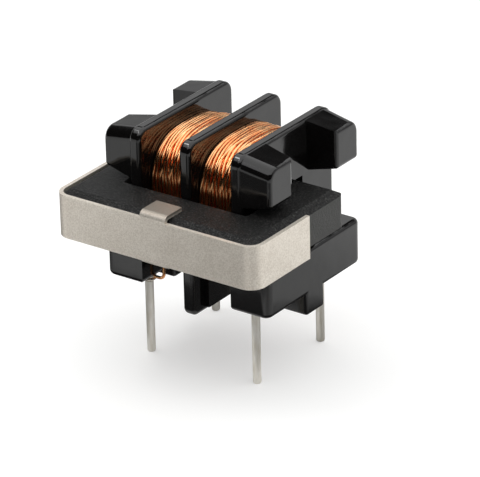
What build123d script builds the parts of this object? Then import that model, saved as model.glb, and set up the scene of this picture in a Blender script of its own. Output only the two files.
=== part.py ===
"""Common mode choke: two copper windings on one leg of a clamped ferrite ring, with four pins."""

import os

from build123d import *

os.makedirs("parts", exist_ok=True)

# The origin is the middle of the four pins, in the seating plane under the feet.
# X runs along the winding axis, Y to the back and Z up. All sizes are in millimetres.

# Windings
wire_diameter = 0.24
turns_per_layer = 14
turn_depth = 0.045
edge_build = 2.3
crown = 0.35

# Bobbin barrel and flanges
core_fit = 0.1
barrel_wall = 0.6
barrel_corner_radius = 0.3
flange_thickness = 0.94
flange_end_margin = 0.55
flange_top_margin = 0.78
flange_corner_radius = 0.9
flange_rim_radius = 0.28

# Horns that lean out over the ferrite from the end flanges
horn_reach = 2.35
horn_width = 3.3
horn_inset = 0.08
horn_clearance = 0.1
horn_top_fall = 0.5
horn_bottom_rise = 0.65
horn_outer_taper = 0.25
horn_inner_taper = 0.35
horn_edge_radius = 0.32
horn_tip_radius = 0.3

# Base bars, their feet and the foot of the middle flange
bar_width = 3.18
bar_height = 3.45
bar_overhang = 0.15
bar_corner_radius = 0.6
bar_rim_radius = 0.35
foot_height = 1.55
foot_width = 2.5
foot_depth = 2.2
foot_corner_radius = 0.25
foot_rim_radius = 0.2
middle_foot_rib = 0.38
middle_foot_rib_inset = 1.35
middle_foot_rib_lift = 0.37
middle_foot_rib_clearance = 0.1
middle_foot_corner_radius = 0.6

# Ferrite ring, made of two U halves that meet end to end
leg_width = 3.45
core_thickness = 3.25
yoke_width = 3.0
core_lift = 0.87
window_clearance = 0.1
window_end_gap = 0.57
window_corner_radius = 0.3
core_back_corner_radius = 0.5
core_bevel_width = 0.65
core_bevel_height = 0.42

# Spring steel clip round the ferrite
clip_thickness = 0.3
clip_height = 3.26
clip_bend_radius = 1.2
clip_fit = 0.01
clip_arm_length = 6.55
clip_drop = 0.19
tab_width = 2.15
tab_reach = 2.05
tab_bend_radius = 0.36
tab_hook = 0.34

# Pins, leads and solder
pin_diameter = 0.6
pin_tin_coat = 0.01
pin_inset = 0.8
pin_end_distance = 1.83
pin_length_below_seat = 4.67
pin_depth_in_bar = 2.55
pin_fit = 0.01
pin_tip_radius = 0.14
lead_fit = 0.05
lead_inset = 0.53
lead_bend_radius = 0.4
wrap_turns = 2
solder_fillet = 0.12

# Places that follow from the sizes above
winding_width = turns_per_layer * wire_diameter
barrel_half_depth = leg_width / 2 + core_fit + barrel_wall
barrel_half_height = core_thickness / 2 + core_fit + barrel_wall
full_build = edge_build + crown
flange_half_depth = barrel_half_depth + full_build + flange_end_margin
flange_half_height = barrel_half_height + full_build + flange_top_margin
winding_inner_x = flange_thickness / 2
winding_outer_x = winding_inner_x + winding_width
bobbin_end_x = winding_outer_x + flange_thickness
horn_root_x = bobbin_end_x - flange_thickness / 2
horn_tip_x = bobbin_end_x + horn_reach

bar_outer_x = winding_outer_x + bar_width
bar_bottom_z = foot_height
bar_top_z = foot_height + bar_height
bar_half_length = flange_half_depth + bar_overhang
core_bottom_z = bar_top_z + core_lift
core_top_z = core_bottom_z + core_thickness
axis_z = core_bottom_z + core_thickness / 2
flange_top_z = axis_z + flange_half_height
flange_bottom_z = axis_z - flange_half_height
middle_foot_rib_top_z = axis_z - barrel_half_height - full_build - middle_foot_rib_clearance

window_half_length = bobbin_end_x + window_end_gap
core_half_length = window_half_length + yoke_width
core_back_y = leg_width / 2
window_front_y = -flange_half_depth - window_clearance
core_front_y = window_front_y - leg_width
clip_front_y = core_front_y - clip_fit - clip_thickness
clip_half_length = core_half_length + clip_fit + clip_thickness
clip_top_z = core_top_z - clip_drop
clip_bottom_z = clip_top_z - clip_height
core_front_corner_radius = clip_bend_radius - clip_thickness - clip_fit

pin_radius = pin_diameter / 2
pin_x = winding_outer_x + pin_inset
pin_y = bar_half_length - pin_end_distance
pin_top_z = bar_bottom_z + pin_depth_in_bar

SIDES = {"left": -1, "right": 1}
ENDS = {"front": -1, "back": 1}


# Bobbin

horn_root_y = flange_half_depth - horn_width
horn_root_z = core_top_z + horn_clearance
horn_tip_bottom_z = horn_root_z + horn_bottom_rise
horn_tip_top_z = flange_top_z - horn_top_fall


def horn_section(y_low, y_high, z_low, z_high):
    """One cross-section of a horn, with the upper outer corner rounder than the lower ones."""
    with Locations(((y_low + y_high) / 2, (z_low + z_high) / 2)):
        Rectangle(y_high - y_low, z_high - z_low)
    fillet(vertices().group_by(Axis.Y)[0], horn_edge_radius)
    fillet(vertices().group_by(Axis.Y)[-1].sort_by(Axis.X)[-1], flange_corner_radius)


with BuildPart() as horn:
    with BuildSketch(Plane.YZ.offset(horn_root_x)):
        horn_section(horn_root_y, flange_half_depth - horn_inset, horn_root_z, flange_top_z)
    with BuildSketch(Plane.YZ.offset(horn_tip_x)):
        horn_section(
            horn_root_y + horn_inner_taper,
            flange_half_depth - horn_outer_taper,
            horn_tip_bottom_z,
            horn_tip_top_z,
        )
    loft(ruled=True)
    fillet(horn.faces().sort_by(Axis.X)[-1].edges(), horn_tip_radius)


def flange_outline(z_low, bottom_radius):
    """The square face of a flange, with rounded corners."""
    with Locations((0, (z_low + flange_top_z) / 2)):
        Rectangle(2 * flange_half_depth, flange_top_z - z_low)
    fillet(vertices().group_by(Axis.Y)[-1], flange_corner_radius)
    fillet(vertices().group_by(Axis.Y)[0], bottom_radius)


with BuildPart() as middle_flange:
    with BuildSketch(Plane.YZ):
        flange_outline(0, middle_foot_corner_radius)
    extrude(amount=flange_thickness / 2, both=True)
    fillet(middle_flange.edges().filter_by(Axis.X, reverse=True), flange_rim_radius)

with BuildPart() as end_flange:
    with BuildSketch(Plane.YZ.offset(winding_outer_x)):
        flange_outline(flange_bottom_z, flange_rim_radius)
    extrude(amount=flange_thickness)
    rims = end_flange.edges().filter_by(Axis.X, reverse=True)
    fillet(rims, flange_rim_radius)

with BuildPart() as base_bar:
    with Locations(((winding_outer_x + bar_outer_x) / 2, 0, (bar_bottom_z + bar_top_z) / 2)):
        Box(bar_width, 2 * bar_half_length, bar_height)
    fillet(base_bar.edges().filter_by(Axis.Z).group_by(Axis.X)[-1], bar_corner_radius)
    fillet(base_bar.edges().group_by(Axis.Z)[0], bar_rim_radius)
    fillet(base_bar.edges().group_by(Axis.Z)[-1].group_by(Axis.X)[1:], bar_rim_radius)

with BuildPart() as foot:
    with Locations((bar_outer_x - foot_width / 2, 0, foot_height)):
        Box(foot_width, foot_depth, 2 * foot_height)
    fillet(foot.edges().filter_by(Axis.Z), foot_corner_radius)
    fillet(foot.edges().group_by(Axis.Z)[0], foot_rim_radius)

with BuildPart() as bobbin_half:
    with Locations((bobbin_end_x / 2, 0, axis_z)):
        Box(bobbin_end_x, 2 * barrel_half_depth, 2 * barrel_half_height)
    fillet(bobbin_half.edges().filter_by(Axis.X), barrel_corner_radius)
    add(end_flange.part)
    add(base_bar.part)
    add(foot.part)
    add(horn.part)
    mirror(horn.part, about=Plane.XZ)

with BuildPart() as bobbin:
    add(bobbin_half.part)
    mirror(bobbin_half.part, about=Plane.YZ)
    add(middle_flange.part)
    with Locations((0, 0, (middle_foot_rib_lift + middle_foot_rib_top_z) / 2)):
        Box(
            flange_thickness + 2 * middle_foot_rib,
            2 * (flange_half_depth - middle_foot_rib_inset),
            middle_foot_rib_top_z - middle_foot_rib_lift,
        )
    with BuildSketch(Plane.YZ.offset(-bobbin_end_x)):
        with Locations((0, axis_z)):
            Rectangle(leg_width + 2 * core_fit, core_thickness + 2 * core_fit)
    extrude(amount=2 * bobbin_end_x, mode=Mode.SUBTRACT)
    for sx in SIDES.values():
        for sy in ENDS.values():
            with Locations((sx * pin_x, sy * pin_y, bar_bottom_z + pin_depth_in_bar / 2)):
                Cylinder(pin_radius + pin_fit, pin_depth_in_bar, mode=Mode.SUBTRACT)

bobbin.part.label = "bobbin"
export_step(bobbin.part, "parts/bobbin.step")


# Ferrite ring

with BuildPart() as ring:
    with Locations((0, (core_front_y + core_back_y) / 2, axis_z)):
        Box(2 * core_half_length, core_back_y - core_front_y, core_thickness)
    for level in (0, -1):
        broad_face = ring.faces().sort_by(Axis.Z)[level]
        chamfer(
            broad_face.edges(),
            length=core_bevel_width,
            length2=core_bevel_height,
            reference=broad_face,
        )
    fillet(ring.edges().filter_by(Axis.Z).group_by(Axis.Y)[0], core_front_corner_radius)
    fillet(ring.edges().filter_by(Axis.Z).group_by(Axis.Y)[-1], core_back_corner_radius)
    with BuildSketch(Plane.XY.offset(core_bottom_z)):
        with Locations((0, (window_front_y - leg_width / 2) / 2)):
            RectangleRounded(
                2 * window_half_length, -leg_width / 2 - window_front_y, window_corner_radius
            )
    extrude(amount=core_thickness, mode=Mode.SUBTRACT)

for side, keep in (("left", Keep.BOTTOM), ("right", Keep.TOP)):
    with BuildPart() as core_half:
        add(ring.part)
        split(bisect_by=Plane.YZ, keep=keep)
    core_half.part.label = f"core_{side}"
    export_step(core_half.part, f"parts/core_{side}.step")


# Clip

strip_mid_y = clip_front_y + clip_thickness / 2
strip_mid_x = clip_half_length - clip_thickness / 2
arm_end_y = clip_front_y + clip_arm_length
strip_mid_z = clip_top_z - clip_height / 2
tab_centre_line = {
    "top": [
        (strip_mid_y, strip_mid_z),
        (strip_mid_y, core_top_z + clip_thickness / 2),
        (clip_front_y + tab_reach, core_top_z + clip_thickness / 2),
    ],
    "bottom": [
        (strip_mid_y, strip_mid_z),
        (strip_mid_y, clip_bottom_z - tab_hook + clip_thickness / 2),
        (clip_front_y + tab_reach, core_bottom_z - clip_thickness / 2),
    ],
}

with BuildPart() as core_clip:
    with BuildSketch(Plane.XY.offset(clip_bottom_z)):
        with BuildLine():
            FilletPolyline(
                (-strip_mid_x, arm_end_y),
                (-strip_mid_x, strip_mid_y),
                (strip_mid_x, strip_mid_y),
                (strip_mid_x, arm_end_y),
                radius=clip_bend_radius - clip_thickness / 2,
            )
        trace(line_width=clip_thickness)
    extrude(amount=clip_height)
    for route in tab_centre_line.values():
        with BuildSketch(Plane.YZ):
            with BuildLine():
                FilletPolyline(*route, radius=tab_bend_radius)
            trace(line_width=clip_thickness)
        extrude(amount=tab_width / 2, both=True)

core_clip.part.label = "core_clip"
export_step(core_clip.part, "parts/core_clip.step")


# Windings

barrel_top_z = axis_z + barrel_half_height
groove_x = [winding_inner_x + index * wire_diameter for index in range(turns_per_layer + 1)]


def build_at(x):
    """Height of the winding over the barrel, which falls away from the middle flange."""
    return edge_build + crown * (1 - ((x - winding_inner_x) / winding_width) ** 2)


groove_points = [(x, barrel_top_z + build_at(x) - turn_depth) for x in groove_x]

with BuildPart() as winding:
    with BuildLine(Plane.YZ.offset(winding_inner_x)) as barrel_path:
        FilletPolyline(
            (-barrel_half_depth, axis_z - barrel_half_height),
            (barrel_half_depth, axis_z - barrel_half_height),
            (barrel_half_depth, axis_z + barrel_half_height),
            (-barrel_half_depth, axis_z + barrel_half_height),
            radius=barrel_corner_radius,
            close=True,
        )
    with BuildSketch(Plane.XZ):
        with BuildLine():
            Polyline(
                groove_points[0],
                (winding_inner_x, barrel_top_z),
                (winding_outer_x, barrel_top_z),
                groove_points[-1],
            )
            for start, end in zip(groove_points, groove_points[1:]):
                crest = ((start[0] + end[0]) / 2, (start[1] + end[1]) / 2 + turn_depth)
                ThreePointArc(start, crest, end)
        make_face()
    sweep(path=barrel_path.wire())

for side, mirrored in (("right", False), ("left", True)):
    with BuildPart() as winding_side:
        add(winding.part if not mirrored else mirror(winding.part, about=Plane.YZ, mode=Mode.PRIVATE))
    winding_side.part.label = f"winding_{side}"
    export_step(winding_side.part, f"parts/winding_{side}.step")


# Pins, with the end of a winding wrapped round each and soldered

wrap_outer_radius = pin_radius + wire_diameter
turn_levels = [bar_bottom_z - index * wire_diameter for index in range(wrap_turns + 1)]
solder_bottom_z = turn_levels[-1] - solder_fillet
lead_z = bar_bottom_z - wire_diameter / 2 - lead_fit
lead_x = winding_outer_x - lead_inset

with BuildPart() as pin:
    with Locations((pin_x, pin_y, (pin_top_z - pin_length_below_seat) / 2)):
        Cylinder(pin_radius, pin_top_z + pin_length_below_seat)
    with Locations((pin_x, pin_y, (solder_bottom_z - pin_length_below_seat) / 2)):
        Cylinder(pin_radius + pin_tin_coat, solder_bottom_z + pin_length_below_seat)
    fillet(pin.edges().sort_by(Axis.Z)[0], pin_tip_radius)

with BuildPart() as solder_joint:
    with BuildSketch(Plane.XZ.offset(-pin_y)):
        with BuildLine():
            for upper, lower in zip(turn_levels, turn_levels[1:]):
                ThreePointArc(
                    (pin_x + pin_radius + wire_diameter / 2, upper),
                    (pin_x + wrap_outer_radius, (upper + lower) / 2),
                    (pin_x + pin_radius + wire_diameter / 2, lower),
                )
            Polyline(
                (pin_x + pin_radius + wire_diameter / 2, turn_levels[-1]),
                (pin_x + pin_radius, solder_bottom_z),
                (pin_x + pin_radius, turn_levels[0]),
                (pin_x + pin_radius + wire_diameter / 2, turn_levels[0]),
            )
        make_face()
    revolve(axis=Axis((pin_x, pin_y, 0), (0, 0, 1)))

with BuildPart() as lead:
    with BuildLine() as lead_route:
        FilletPolyline(
            (lead_x, pin_y, axis_z - barrel_half_height),
            (lead_x, pin_y, lead_z),
            (pin_x, pin_y, lead_z),
            radius=lead_bend_radius,
        )
    with BuildSketch(Plane(lead_route.line @ 0, z_dir=lead_route.line % 0)):
        Circle(wire_diameter / 2)
    sweep()
    add(winding.part, mode=Mode.SUBTRACT)
    add(solder_joint.part, mode=Mode.SUBTRACT)
    add(pin.part, mode=Mode.SUBTRACT)

for end, sy in ENDS.items():
    for side, sx in SIDES.items():
        for name, master in (("pin", pin), ("solder_joint", solder_joint), ("lead", lead)):
            piece = master.part if sx > 0 else mirror(master.part, about=Plane.YZ, mode=Mode.PRIVATE)
            piece = piece if sy > 0 else mirror(piece, about=Plane.XZ, mode=Mode.PRIVATE)
            piece.label = f"{name}_{end}_{side}"
            export_step(piece, f"parts/{name}_{end}_{side}.step")
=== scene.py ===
"""A common mode choke on a white sweep: black bobbin, dark ferrite ring, steel clip, copper windings."""

import math

import bmesh
import bpy
from mathutils import Matrix, Vector


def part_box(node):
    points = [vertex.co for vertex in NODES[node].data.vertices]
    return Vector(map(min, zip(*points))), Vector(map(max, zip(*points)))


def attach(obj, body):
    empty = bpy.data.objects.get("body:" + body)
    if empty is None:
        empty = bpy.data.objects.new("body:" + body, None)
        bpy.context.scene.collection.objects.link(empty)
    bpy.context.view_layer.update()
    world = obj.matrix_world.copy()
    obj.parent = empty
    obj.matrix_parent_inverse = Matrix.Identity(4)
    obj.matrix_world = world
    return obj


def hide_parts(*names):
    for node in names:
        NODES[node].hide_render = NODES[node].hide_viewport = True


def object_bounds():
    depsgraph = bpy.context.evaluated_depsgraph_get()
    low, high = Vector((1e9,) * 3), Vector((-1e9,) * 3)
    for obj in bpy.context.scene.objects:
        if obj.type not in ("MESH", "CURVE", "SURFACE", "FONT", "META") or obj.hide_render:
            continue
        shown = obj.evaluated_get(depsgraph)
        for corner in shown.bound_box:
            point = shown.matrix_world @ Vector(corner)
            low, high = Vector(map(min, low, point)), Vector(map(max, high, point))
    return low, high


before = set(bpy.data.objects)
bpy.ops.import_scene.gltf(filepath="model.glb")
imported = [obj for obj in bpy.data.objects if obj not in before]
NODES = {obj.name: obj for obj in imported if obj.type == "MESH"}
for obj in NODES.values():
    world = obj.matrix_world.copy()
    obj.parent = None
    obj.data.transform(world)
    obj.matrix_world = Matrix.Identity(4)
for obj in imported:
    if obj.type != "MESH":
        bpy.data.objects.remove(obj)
MM = 0.001

cad_low, cad_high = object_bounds()


# Heights in the CAD's boxes that finishes and windings are set by

CLIP_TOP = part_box("core_clip")[1].z
winding_low, winding_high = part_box("winding_right")
AXIS_HEIGHT = (winding_low.z + winding_high.z) / 2


# Node trees

# The colour sockets of a mix node. Its other sockets are for numbers and vectors.
MIX_FIRST, MIX_SECOND, MIX_RESULT = 6, 7, 2


def srgb(code):
    """A hex colour as the linear RGBA that shaders take."""
    parts = [int(code[i : i + 2], 16) / 255 for i in (1, 3, 5)]
    return tuple(c / 12.92 if c <= 0.04045 else ((c + 0.055) / 1.055) ** 2.4 for c in parts) + (1.0,)


def node(tree, kind, links=(), **settings):
    """Adds one node to a tree.

    links are (input, source socket) pairs. settings are the node's attributes or, where it has none of that
    name, its inputs, with an underscore for each space.
    """
    made = tree.nodes.new(kind)
    for key, value in settings.items():
        if hasattr(made, key):
            setattr(made, key, value)
        else:
            made.inputs[key.replace("_", " ")].default_value = value
    for key, source in links:
        tree.links.new(source, made.inputs[key])
    return made


def material(name):
    """A new material with an empty tree, and that tree."""
    made = bpy.data.materials.new(name)
    made.use_nodes = True
    made.node_tree.nodes.clear()
    return made, made.node_tree


def finish_surface(tree, shader, height=None, depth=0.0):
    """Joins the shader to the output, with a bump of that depth in metres where a height is given."""
    if height is not None:
        bump = node(tree, "ShaderNodeBump", [("Height", height)], Strength=1.0, Distance=depth)
        tree.links.new(bump.outputs["Normal"], shader.inputs["Normal"])
    node(tree, "ShaderNodeOutputMaterial", [("Surface", shader.outputs[0])])


def object_place(tree):
    """Object coordinates, which are the part's own frame in metres."""
    return node(tree, "ShaderNodeTexCoord").outputs["Object"]


def object_noise(tree, grain_mm, detail=2.0, roughness=0.5, stretch=(1, 1, 1)):
    """Noise on object coordinates whose blobs are about grain_mm across."""
    mapping = node(tree, "ShaderNodeMapping", [("Vector", object_place(tree))], Scale=stretch)
    return node(
        tree,
        "ShaderNodeTexNoise",
        [("Vector", mapping.outputs["Vector"])],
        Scale=1 / (grain_mm * MM),
        Detail=detail,
        Roughness=roughness,
    ).outputs[0]


def ramp(tree, source, *stops):
    """A colour ramp with (position, linear colour) stops."""
    made = node(tree, "ShaderNodeValToRGB", [("Fac", source)])
    elements = made.color_ramp.elements
    while len(elements) < len(stops):
        elements.new(0.5)
    for element, (position, colour) in zip(elements, stops):
        element.position = position
        element.color = colour
    return made.outputs["Color"]


class Maths:
    """Writes arithmetic as nodes of a shader or a geometry tree."""

    def __init__(self, tree):
        self.tree = tree

    def feed(self, made, values):
        """Gives a node's inputs, in their order, plain numbers or sockets; returns its first output."""
        for socket, value in zip(made.inputs, values):
            if isinstance(value, (int, float)):
                socket.default_value = value
            else:
                self.tree.links.new(value, socket)
        return made.outputs[0]

    def __call__(self, operation, *values):
        return self.feed(node(self.tree, "ShaderNodeMath", operation=operation), values)

    def spread(self, value, low, high, to_low=0.0, to_high=1.0):
        """value, mapped from low..high to to_low..to_high and held at its ends."""
        made = node(self.tree, "ShaderNodeMapRange", clamp=True)
        return self.feed(made, (value, low, high, to_low, to_high))


def normal_up(tree):
    """How far the true face points up: 1 on a top face, 0 on a wall."""
    normal = node(tree, "ShaderNodeNewGeometry").outputs["True Normal"]
    return node(tree, "ShaderNodeSeparateXYZ", [(0, normal)]).outputs["Z"]


# Finishes. Each one's grain is given in real millimetres on the part

# The noise at which a fleck of the ferrite starts, and that at which it is full.
FLECK_START, FLECK_FULL = 0.54, 0.68


def moulded_phenolic():
    """Black phenolic, moulded in a polished tool: deep black, with clear but slightly wavy reflections.

    The gloss changes with the flow, sink waves bend the reflections, and fine pits break them a little. Real
    pits are a few hundredths of a millimetre wide. They are drawn at 0.12 mm, which a pixel can still show.
    """
    made, tree = material("moulded black phenolic")
    do = Maths(tree)
    flow = object_noise(tree, 2.4)
    shader = node(
        tree,
        "ShaderNodeBsdfPrincipled",
        [("Roughness", do.spread(flow, 0.3, 0.7, 0.05, 0.14))],
        Base_Color=srgb("#0B0A0A"),
        IOR=1.52,
    )
    sink_waves = object_noise(tree, 1.6, detail=1.0)
    pits = do("MULTIPLY", object_noise(tree, 0.12), 0.03)
    finish_surface(tree, shader, do("ADD", sink_waves, pits), 0.02 * MM)
    return made


def tumbled_ferrite():
    """Sintered ferrite, tumbled: near black with a dull gleam, pale grit, and pale flecks on chipped edges.

    Upright walls are greyer: painted light on them, standing in for the light from the side. The open pores
    swallow most of a reflection, so the IOR is set well below that of solid ferrite. Real grit is about 0.02
    mm.
    It is drawn at 0.13 mm, which a pixel can still show.
    """
    made, tree = material("tumbled ferrite")
    do = Maths(tree)
    up = normal_up(tree)
    edge = do("MULTIPLY", do.spread(up, 0.5, 0.6), do.spread(up, 0.985, 0.94))
    # Painted light: upright walls are made paler than the tops, for the light that falls on them from the
    # side.
    painted_wall_light = do.spread(do("ABSOLUTE", up), 0.1, 0.4, 0.42, 0.0)
    fleck = object_noise(tree, 0.14, detail=3.0, roughness=0.75)
    grit = do.spread(object_noise(tree, 0.13, roughness=0.7), FLECK_START, FLECK_FULL)
    chips = do("MULTIPLY", edge, do.spread(fleck, FLECK_START, FLECK_FULL, 0.0, 0.3))
    # Paleness from the ferrite's own grit and edge flecks, and from the painted light on the walls.
    pale = do("MAXIMUM", do("MAXIMUM", chips, do("MULTIPLY", grit, 0.45)), painted_wall_light)
    colour = node(tree, "ShaderNodeMix", [("Factor", pale)], data_type="RGBA")
    colour.inputs[MIX_FIRST].default_value = srgb("#090909")
    colour.inputs[MIX_SECOND].default_value = srgb("#6A6A68")
    roughness = do("ADD", 0.46, do("MULTIPLY", edge, -0.08))
    shader = node(
        tree,
        "ShaderNodeBsdfPrincipled",
        [("Base Color", colour.outputs[MIX_RESULT]), ("Roughness", roughness)],
        IOR=1.3,
    )
    finish_surface(tree, shader, fleck, 0.09 * MM)
    return made


def rolled_steel():
    """Stainless spring strip, rolled and tumbled: warm satin grey with a fine grain, with painted shade on the
    bent tab.

    The tumbled skin scatters part of the light, so it isn't wholly metallic. The tab over the ring is found by
    its height. Real grain is about 0.03 mm. It is drawn at 0.11 mm, which a pixel can still show.
    """
    made, tree = material("tumbled stainless strip")
    do = Maths(tree)
    grain = object_noise(tree, 0.11, detail=3.0, roughness=0.65)
    cloud = object_noise(tree, 1.4, detail=3.0)
    tone = do("ADD", do("MULTIPLY", grain, 0.8), do("MULTIPLY", cloud, 0.2))
    satin = ramp(tree, tone, (0.38, srgb("#D4CBBE")), (0.62, srgb("#EEE7DC")))
    height = node(tree, "ShaderNodeSeparateXYZ", [(0, object_place(tree))]).outputs["Z"]
    # Painted shade: the top of the bent tab is darkened towards a dull brown grey, for the dark that it
    # reflects.
    tab_painted_shade = do.spread(height, CLIP_TOP - 0.25 * MM, CLIP_TOP - 0.1 * MM, 0.0, 0.75)
    colour = node(tree, "ShaderNodeMix", [("Factor", tab_painted_shade), (MIX_FIRST, satin)], data_type="RGBA")
    colour.inputs[MIX_SECOND].default_value = srgb("#776D62")
    shader = node(
        tree,
        "ShaderNodeBsdfPrincipled",
        [("Base Color", colour.outputs[MIX_RESULT])],
        Metallic=0.72,
        Roughness=0.42,
    )
    finish_surface(tree, shader, grain, 0.004 * MM)
    return made


def enamelled_copper():
    """Copper wire under clear enamel: orange metal with a wet, paler glint along each turn."""
    made, tree = material("enamelled copper wire")
    shade = object_noise(tree, 0.9)
    colour = ramp(tree, shade, (0.35, srgb("#F09C62")), (0.65, srgb("#FFC38C")))
    shader = node(
        tree,
        "ShaderNodeBsdfPrincipled",
        [("Base Color", colour)],
        Metallic=1.0,
        Roughness=0.2,
        Coat_Weight=0.25,
        Coat_Roughness=0.1,
    )
    finish_surface(tree, shader)
    return made


def tinned_wire():
    """Hot tinned copper wire: pale warm grey with a soft sheen, its lumps of tin drawn out along the pin.

    The dull skin on the tin scatters half of the light, so it isn't wholly metallic.
    """
    made, tree = material("hot tinned wire")
    lump = object_noise(tree, 0.3, detail=3.0, stretch=(1, 1, 0.25))
    colour = ramp(tree, lump, (0.3, srgb("#E6E0D2")), (0.7, srgb("#F8F5EE")))
    shader = node(
        tree,
        "ShaderNodeBsdfPrincipled",
        [("Base Color", colour)],
        Metallic=0.5,
        Roughness=0.35,
    )
    finish_surface(tree, shader, lump, 0.02 * MM)
    return made


def dip_solder():
    """Dip solder over the wrapped wire: bright grey metal with rounded ridges a wire's width apart."""
    made, tree = material("dip solder")
    lump = object_noise(tree, 0.25)
    shader = node(
        tree,
        "ShaderNodeBsdfPrincipled",
        Base_Color=srgb("#CFC8BC"),
        Metallic=1.0,
        Roughness=0.26,
    )
    finish_surface(tree, shader, lump, 0.03 * MM)
    return made


COPPER = enamelled_copper()

# The finish of each CAD node, by how its name starts. The clip comes before the rest of the core.
FINISHES = (
    ("bobbin", moulded_phenolic()),
    ("core_clip", rolled_steel()),
    ("core", tumbled_ferrite()),
    ("winding", COPPER),
    ("lead", COPPER),
    ("pin", tinned_wire()),
    ("solder_joint", dip_solder()),
)


def dress(name):
    """Gives a CAD node its one finish."""
    mesh = NODES[name].data
    mesh.materials.clear()
    mesh.materials.append(next(finish for start, finish in FINISHES if name.startswith(start)))


for name in NODES:
    dress(name)


# Windings, wound by geometry nodes

WIRE_DIAMETER = 0.235 * MM
POINTS_PER_TURN = 72
WIRE_SIDES = 7

# The power of the superellipse that a turn follows: 2 is round, and more is squarer.
SQUARENESS = 3.1

# Half sizes in mm over the top layer, at the middle flange and at the outer one, where the coil is smaller.
INNER_HALF_DEPTH, INNER_HALF_HEIGHT = 4.75, 4.95
OUTER_HALF_DEPTH, OUTER_HALF_HEIGHT = 4.5, 4.72

# The layers from the inside out: depth under the top, pitch, wander, slant and lift in mm, way along X, and
# where on its first turn a layer starts, in turns. The last one is a few loose turns across the rest.
LAYERS = (
    (0.34, 0.236, 0.03, 0.00, 0.00, 1, 0.0),
    (0.19, 0.245, 0.12, -0.28, 0.03, -1, 0.3),
    (0.05, 0.290, 0.20, 0.32, 0.06, 1, 0.1),
    (0.02, 0.800, 0.50, -0.20, 0.05, -1, 0.6),
)

# Noise makes a turn drift along X and swell outwards: its scales, how far it climbs in a turn, the first
# layer's seed by side, and the steps to the next layer's seed and to the swell's.
DRIFT_SCALE, SWELL_SCALE = 1.0, 1.3
NOISE_CLIMB = 0.9
FIRST_SEEDS = {"left": 5.0, "right": 11.0}
SEED_STEP = 3.0
SWELL_SEED_STEP = 7.0


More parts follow.
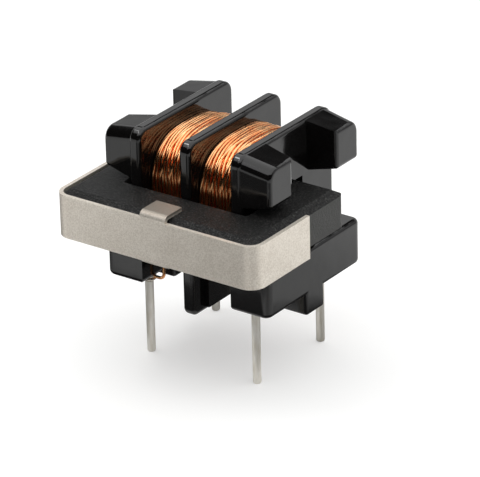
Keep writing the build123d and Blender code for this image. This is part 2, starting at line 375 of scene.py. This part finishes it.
def coil_tree():
    """A wire that winds round a rounded, crowned body along X: one layer of a coil.

    Inner X and Outer X are where the body has its inner and outer half sizes, and Low X and High X are as far
    as the wire's middle goes. Wander and Lift are how much noise moves a turn along X and outwards. Slant is
    how far a turn swings to and fro along X.
    """
    tree = bpy.data.node_groups.new("wind one layer", "GeometryNodeTree")
    face = tree.interface
    face.new_socket("Geometry", in_out="OUTPUT", socket_type="NodeSocketGeometry")
    for title, default in (
        ("Turns", 14.0),
        ("First X", 0.0),
        ("Pitch", 0.00024),
        ("Inner Half Depth", 0.0047),
        ("Inner Half Height", 0.0049),
        ("Outer Half Depth", 0.0044),
        ("Outer Half Height", 0.0047),
        ("Inner X", 0.0),
        ("Outer X", 0.0034),
        ("Low X", 0.0),
        ("High X", 0.0034),
        ("Axis Height", 0.0075),
        ("Wire Radius", 0.00012),
        ("Wander", 0.00008),
        ("Slant", 0.0003),
        ("Lift", 0.00003),
        ("Seed", 0.0),
        ("Start Turn", 0.0),
    ):
        face.new_socket(title, in_out="INPUT", socket_type="NodeSocketFloat").default_value = default
    face.new_socket("Finish", in_out="INPUT", socket_type="NodeSocketMaterial")
    given = node(tree, "NodeGroupInput").outputs
    do = Maths(tree)

    count = do("MULTIPLY", given["Turns"], POINTS_PER_TURN)
    line = node(tree, "GeometryNodeMeshLine", [("Count", count)], mode="OFFSET")
    turn = do("DIVIDE", node(tree, "GeometryNodeInputIndex").outputs[0], POINTS_PER_TURN)
    angle = do("MULTIPLY", do("ADD", turn, given["Start Turn"]), 2 * math.pi)
    cosine, sine = do("COSINE", angle), do("SINE", angle)

    # The noise is read along a helix, so that a turn drifts much as the one beside it does.
    climb = do("MULTIPLY", turn, NOISE_CLIMB)
    spot = node(tree, "ShaderNodeCombineXYZ", [("X", sine), ("Y", cosine), ("Z", climb)])

    def noise(seed, scale):
        made = node(
            tree,
            "ShaderNodeTexNoise",
            [("Vector", spot.outputs[0]), ("W", seed)],
            noise_dimensions="4D",
            Scale=scale,
            Detail=1.0,
        )
        return do("SUBTRACT", made.outputs[0], 0.5)

    drift = noise(given["Seed"], DRIFT_SCALE)
    swell = noise(do("ADD", given["Seed"], SWELL_SEED_STEP), SWELL_SCALE)

    # Along X a turn swings twice, most of all midway between the flanges and not at all beside them.
    along = do("ADD", given["First X"], do("MULTIPLY", turn, given["Pitch"]))
    inside = do.spread(along, given["Low X"], given["High X"])
    inside = do("MULTIPLY", do("MULTIPLY", inside, do("SUBTRACT", 1.0, inside)), 4.0)
    lean = do("MULTIPLY", do("COSINE", do("MULTIPLY", angle, 2.0)), given["Slant"])
    along = do("ADD", along, do("MULTIPLY", lean, inside))
    along = do("ADD", along, do("MULTIPLY", drift, given["Wander"]))
    along = do("MINIMUM", do("MAXIMUM", along, given["Low X"]), given["High X"])

    # Across X it is a superellipse, which shrinks faster and faster towards the outer flange.
    width = do("SUBTRACT", given["Outer X"], given["Inner X"])
    share = do("DIVIDE", do("SUBTRACT", along, given["Inner X"]), width)
    fall = do("MULTIPLY", share, share)

    def half_size(inner, outer):
        return do("ADD", given[inner], do("MULTIPLY", fall, do("SUBTRACT", given[outer], given[inner])))

    half_depth = half_size("Inner Half Depth", "Outer Half Depth")
    half_height = half_size("Inner Half Height", "Outer Half Height")
    reach = do(
        "ADD",
        do("POWER", do("DIVIDE", do("ABSOLUTE", cosine), half_depth), SQUARENESS),
        do("POWER", do("DIVIDE", do("ABSOLUTE", sine), half_height), SQUARENESS),
    )
    radius = do("POWER", reach, -1 / SQUARENESS)
    radius = do("ADD", radius, do("MULTIPLY", swell, given["Lift"]))
    back = do("MULTIPLY", radius, cosine)
    height = do("ADD", given["Axis Height"], do("MULTIPLY", radius, sine))
    place = node(tree, "ShaderNodeCombineXYZ", [("X", along), ("Y", back), ("Z", height)])

    route = node(
        tree,
        "GeometryNodeSetPosition",
        [("Geometry", line.outputs[0]), ("Position", place.outputs[0])],
    )
    curve = node(tree, "GeometryNodeMeshToCurve", [("Mesh", route.outputs[0])])
    section = node(
        tree,
        "GeometryNodeCurvePrimitiveCircle",
        [("Radius", given["Wire Radius"])],
        Resolution=WIRE_SIDES,
    )
    tube = node(
        tree,
        "GeometryNodeCurveToMesh",
        [("Curve", curve.outputs[0]), ("Profile Curve", section.outputs[0])],
        Fill_Caps=True,
    )
    smooth = node(tree, "GeometryNodeSetShadeSmooth", [("Geometry", tube.outputs[0])])
    real = node(tree, "GeometryNodeRealizeInstances", [("Geometry", smooth.outputs[0])])
    finished = node(
        tree,
        "GeometryNodeSetMaterial",
        [("Geometry", real.outputs[0]), ("Material", given["Finish"])],
    )
    node(tree, "NodeGroupOutput", [("Geometry", finished.outputs[0])])
    return tree


COIL = coil_tree()


def run_tree(name, tree, values):
    """An object with the plain mesh that a tree makes with these input values."""
    holder = bpy.data.objects.new(name, bpy.data.meshes.new(name))
    bpy.context.scene.collection.objects.link(holder)
    modifier = holder.modifiers.new("make", "NODES")
    modifier.node_group = tree
    for item in tree.interface.items_tree:
        if item.in_out == "INPUT" and item.name in values:
            modifier[item.identifier] = values[item.name]
    graph = bpy.context.evaluated_depsgraph_get()
    made = bpy.data.meshes.new_from_object(holder.evaluated_get(graph))
    holder.modifiers.remove(modifier)
    empty = holder.data
    holder.data = made
    bpy.data.meshes.remove(empty)
    made.name = name
    return holder


def join(name, objects):
    """One object from several of one finish, by copying their faces into one mesh."""
    shape = bmesh.new()
    for o in objects:
        shape.from_mesh(o.data)
    mesh = bpy.data.meshes.new(name)
    shape.to_mesh(mesh)
    shape.free()
    mesh.materials.append(objects[0].data.materials[0])
    for o in objects:
        bpy.data.objects.remove(o)
    made = bpy.data.objects.new(name, mesh)
    bpy.context.scene.collection.objects.link(made)
    return made


def wind(side):
    """One winding: snug layers, wound to and fro between the flanges, and a few loose turns across them."""
    node_name = f"winding_{side}"
    low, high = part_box(node_name)
    inner_x, outer_x = (low.x, high.x) if side == "right" else (high.x, low.x)
    wire_radius = WIRE_DIAMETER / 2
    layers = []
    for index, (depth, pitch, wander, slant, lift, way, start_turn) in enumerate(LAYERS):
        sunk = depth * MM + wire_radius
        first_x, last_x = (low.x, high.x) if way > 0 else (high.x, low.x)
        turns = round((high.x - low.x) / (pitch * MM))
        values = {
            "Turns": float(turns),
            "First X": first_x,
            "Pitch": (last_x - first_x) / turns,
            "Inner Half Depth": INNER_HALF_DEPTH * MM - sunk,
            "Inner Half Height": INNER_HALF_HEIGHT * MM - sunk,
            "Outer Half Depth": OUTER_HALF_DEPTH * MM - sunk,
            "Outer Half Height": OUTER_HALF_HEIGHT * MM - sunk,
            "Inner X": inner_x,
            "Outer X": outer_x,
            "Low X": low.x + wire_radius,
            "High X": high.x - wire_radius,
            "Axis Height": AXIS_HEIGHT,
            "Wire Radius": wire_radius,
            "Wander": wander * MM,
            "Slant": slant * MM,
            "Lift": lift * MM,
            "Seed": SEED_STEP * index + FIRST_SEEDS[side],
            "Start Turn": start_turn,
            "Finish": COPPER,
        }
        layers.append(run_tree(f"{node_name}_layer_{index}", COIL, values))
    made = join(f"{node_name}_turns", layers)
    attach(made, "root")
    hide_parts(node_name)


wind("left")
wind("right")


# Floor, lights and camera

FLOOR_HEIGHT = cad_low.z
FLOOR_HALF = 0.6
FLOOR_GLOW = 0.42

# Painted light and shade on the table, which only reflections find: the share of the table's white that a
# reflection finds. Each zone is two places in mm and the shares there.
# Round TABLE_MIDDLE, X and Y in mm, a patch of painted light under the pins fades into a ring of painted
# shade, for the object's shadow near it, and that fades into the open table.
TABLE_MIDDLE = (0, -3)
PAINTED_LIGHT_PATCH_EDGE = (6, 8.5, 0.9, 0.1)
PAINTED_SHADE_RING_EDGE = (16.5, 19, 0.0, 0.9)

# A strip of painted light runs along the front, between these two zones along Y, with painted shade in front
# of it.
PAINTED_LIGHT_STRIP_FRONT = (-22.5, -20.5, 0.1, 1.25)
PAINTED_LIGHT_STRIP_BACK = (-17.5, -16.5, 1.25, 1.0)

# The painted shade in front of the strip ends at these two zones along X.
PAINTED_SHADE_LEFT_END = (-21, -19, 0.8, 0.1)
PAINTED_SHADE_RIGHT_END = (-4, 12, 0.1, 0.8)

# Spots of painted shade: X, Y, inner and outer radius in mm, and the share that is left in their middle.
PAINTED_SHADE_SPOTS = ((30, -26, 10, 30, 0.35), (-32, 4, 12, 34, 0.05), (18, 8, 6, 14, 0.7))


def painted_reflection_share(tree):
    """The share of the table's white that reflections find at each place on it, with its painted light and
    shade.
    """
    do = Maths(tree)
    place = node(tree, "ShaderNodeSeparateXYZ", [(0, object_place(tree))]).outputs

    def zone(value, low, high, at_low, at_high):
        return do.spread(value, low * MM, high * MM, at_low, at_high)

    def reach(x, y):
        across, along = do("SUBTRACT", place["X"], x * MM), do("SUBTRACT", place["Y"], y * MM)
        return do("SQRT", do("ADD", do("MULTIPLY", across, across), do("MULTIPLY", along, along)))

    away = reach(*TABLE_MIDDLE)
    # Painted light under the pins, and a ring of painted shade round them.
    share = do("ADD", zone(away, *PAINTED_LIGHT_PATCH_EDGE), zone(away, *PAINTED_SHADE_RING_EDGE))
    # A strip of painted light along the front, with painted shade in front of it that ends to the left and
    # right.
    front = do("MAXIMUM", zone(place["Y"], *PAINTED_LIGHT_STRIP_FRONT), zone(place["X"], *PAINTED_SHADE_LEFT_END))
    front = do("MAXIMUM", front, zone(place["X"], *PAINTED_SHADE_RIGHT_END))
    share = do("MULTIPLY", share, do("MINIMUM", front, zone(place["Y"], *PAINTED_LIGHT_STRIP_BACK)))
    # Spots of painted shade, seen only in reflections.
    for x, y, inner, outer, least in PAINTED_SHADE_SPOTS:
        share = do("MULTIPLY", share, zone(reach(x, y), inner, outer, least, 1.0))
    return share


def sweep_floor():
    """A white table that fades into the backdrop, with the object's shadow on it.

    Reflections find painted shade and painted light on it: painted shade keeps the black bars black, and
    painted light keeps the pins and the clip bright.
    """
    mesh = bpy.data.meshes.new("floor")
    corners = ((-1, -1), (1, -1), (1, 1), (-1, 1))
    mesh.from_pydata([(x * FLOOR_HALF, y * FLOOR_HALF, FLOOR_HEIGHT) for x, y in corners], [], [(0, 1, 2, 3)])
    made = bpy.data.objects.new("floor", mesh)
    bpy.context.scene.collection.objects.link(made)
    finish, tree = material("white table")
    do = Maths(tree)
    share = painted_reflection_share(tree)
    ray = node(tree, "ShaderNodeLightPath").outputs
    mirrored = do("MAXIMUM", ray["Is Glossy Ray"], ray["Is Transmission Ray"])
    # For reflections, the table's glow and its matt white are scaled by the painted light and shade of the
    # share.
    seen = do("ADD", ray["Is Camera Ray"], do("MULTIPLY", mirrored, share))
    matt_painted_reflection_share = do("SUBTRACT", 1.0, do("MULTIPLY", mirrored, do("SUBTRACT", 1.0, share)))
    paint = node(tree, "ShaderNodeMix", [("Factor", matt_painted_reflection_share)], data_type="RGBA")
    paint.inputs[MIX_FIRST].default_value = (0, 0, 0, 1)
    paint.inputs[MIX_SECOND].default_value = srgb("#D2D2D1")
    matt = node(tree, "ShaderNodeBsdfDiffuse", [("Color", paint.outputs[MIX_RESULT])])
    glow = node(tree, "ShaderNodeEmission", [("Strength", do("MULTIPLY", seen, FLOOR_GLOW))])
    both = node(tree, "ShaderNodeAddShader", [(0, matt.outputs[0]), (1, glow.outputs[0])])
    node(tree, "ShaderNodeOutputMaterial", [("Surface", both.outputs[0])])
    mesh.materials.append(finish)


def area_light(name, place, turned, width, height, radiance):
    """A rectangular lamp that faces down, placed and sized in metres.

    turned is its turn about the upright in degrees, and radiance is that of its face.
    """
    data = bpy.data.lights.new(name, "AREA")
    data.shape = "RECTANGLE"
    data.size, data.size_y = width, height
    data.energy = radiance * math.pi * width * height
    made = bpy.data.objects.new(name, data)
    made.location = place
    made.rotation_euler = (0, 0, math.radians(turned))
    bpy.context.scene.collection.objects.link(made)


# The studio round the object: how high a direction points, from 0 at the horizon to 1 straight up, and the
# grey there. Pale walls have a dimmer band, and above them the room is nearly dark.
STUDIO_GREYS = ((0.0, 0.9), (0.18, 0.4), (0.3, 0.4), (0.37, 0.9), (0.47, 0.9), (0.53, 0.08), (0.57, 0.03))

# Reflections find the studio unlit in front of the first of these directions along Y, and lit behind the
# second.
UNLIT_FRONT, LIT_BACK = -0.2, 0.3


def set_world():
    """White to the camera; to the object a studio with pale walls, whose front reflections find dark."""
    world = bpy.data.worlds.new("studio")
    bpy.context.scene.world = world
    world.use_nodes = True
    tree = world.node_tree
    tree.nodes.clear()
    do = Maths(tree)
    ray = node(tree, "ShaderNodeLightPath").outputs
    direction = node(tree, "ShaderNodeTexCoord").outputs["Generated"]
    aim = node(tree, "ShaderNodeSeparateXYZ", [(0, direction)]).outputs
    walls = ramp(tree, aim["Z"], *((height, (grey, grey, grey, 1)) for height, grey in STUDIO_GREYS))
    unlit = do("SUBTRACT", 1.0, do.spread(aim["Y"], UNLIT_FRONT, LIT_BACK))
    strength = do("SUBTRACT", 1.0, do("MULTIPLY", ray["Is Glossy Ray"], unlit))
    studio = node(tree, "ShaderNodeBackground", [("Color", walls), ("Strength", strength)])
    white = node(tree, "ShaderNodeBackground", Color=(1, 1, 1, 1), Strength=1.0)
    pick = node(
        tree,
        "ShaderNodeMixShader",
        [(0, ray["Is Camera Ray"]), (1, studio.outputs[0]), (2, white.outputs[0])],
    )
    node(tree, "ShaderNodeOutputWorld", [("Surface", pick.outputs[0])])


# The photograph's camera, found from the outlines of the ring, the clip and the pins.
PHOTO_WIDTH = 480
FOCAL_PIXELS = 4076.0
SENSOR_WIDTH = 36.0
CLIP_NEAR, CLIP_FAR = 0.01, 10.0
CAMERA_AZIMUTH = math.radians(36.01)
CAMERA_ELEVATION = math.radians(25.219)
CAMERA_ROLL = math.radians(-1.38)
CAMERA_DISTANCE = 281.24 * MM
CAMERA_AIM = Vector((4.486, -5.4, 7.114)) * MM


def set_camera():
    """The camera at the photograph's place, with its slight roll."""
    data = bpy.data.cameras.new("camera")
    data.sensor_fit = "HORIZONTAL"
    data.sensor_width = SENSOR_WIDTH
    data.lens = FOCAL_PIXELS / PHOTO_WIDTH * SENSOR_WIDTH
    data.clip_start, data.clip_end = CLIP_NEAR, CLIP_FAR
    made = bpy.data.objects.new("camera", data)
    away = Vector(
        (
            math.sin(CAMERA_AZIMUTH) * math.cos(CAMERA_ELEVATION),
            -math.cos(CAMERA_AZIMUTH) * math.cos(CAMERA_ELEVATION),
            math.sin(CAMERA_ELEVATION),
        )
    )
    made.location = CAMERA_AIM + CAMERA_DISTANCE * away
    level = (-away).to_track_quat("-Z", "Y").to_matrix()
    made.rotation_euler = (level @ Matrix.Rotation(CAMERA_ROLL, 3, "Z")).to_euler()
    bpy.context.scene.collection.objects.link(made)
    bpy.context.scene.camera = made


sweep_floor()
area_light("overhead soft box", (0.03, 0.01, 0.2), turned=18, width=0.44, height=0.40, radiance=1.6)
area_light("hard strip", (-0.09, -0.06, 0.19), turned=30, width=0.02, height=0.12, radiance=10.0)
set_world()
set_camera()
bpy.context.scene.view_settings.view_transform = "Standard"
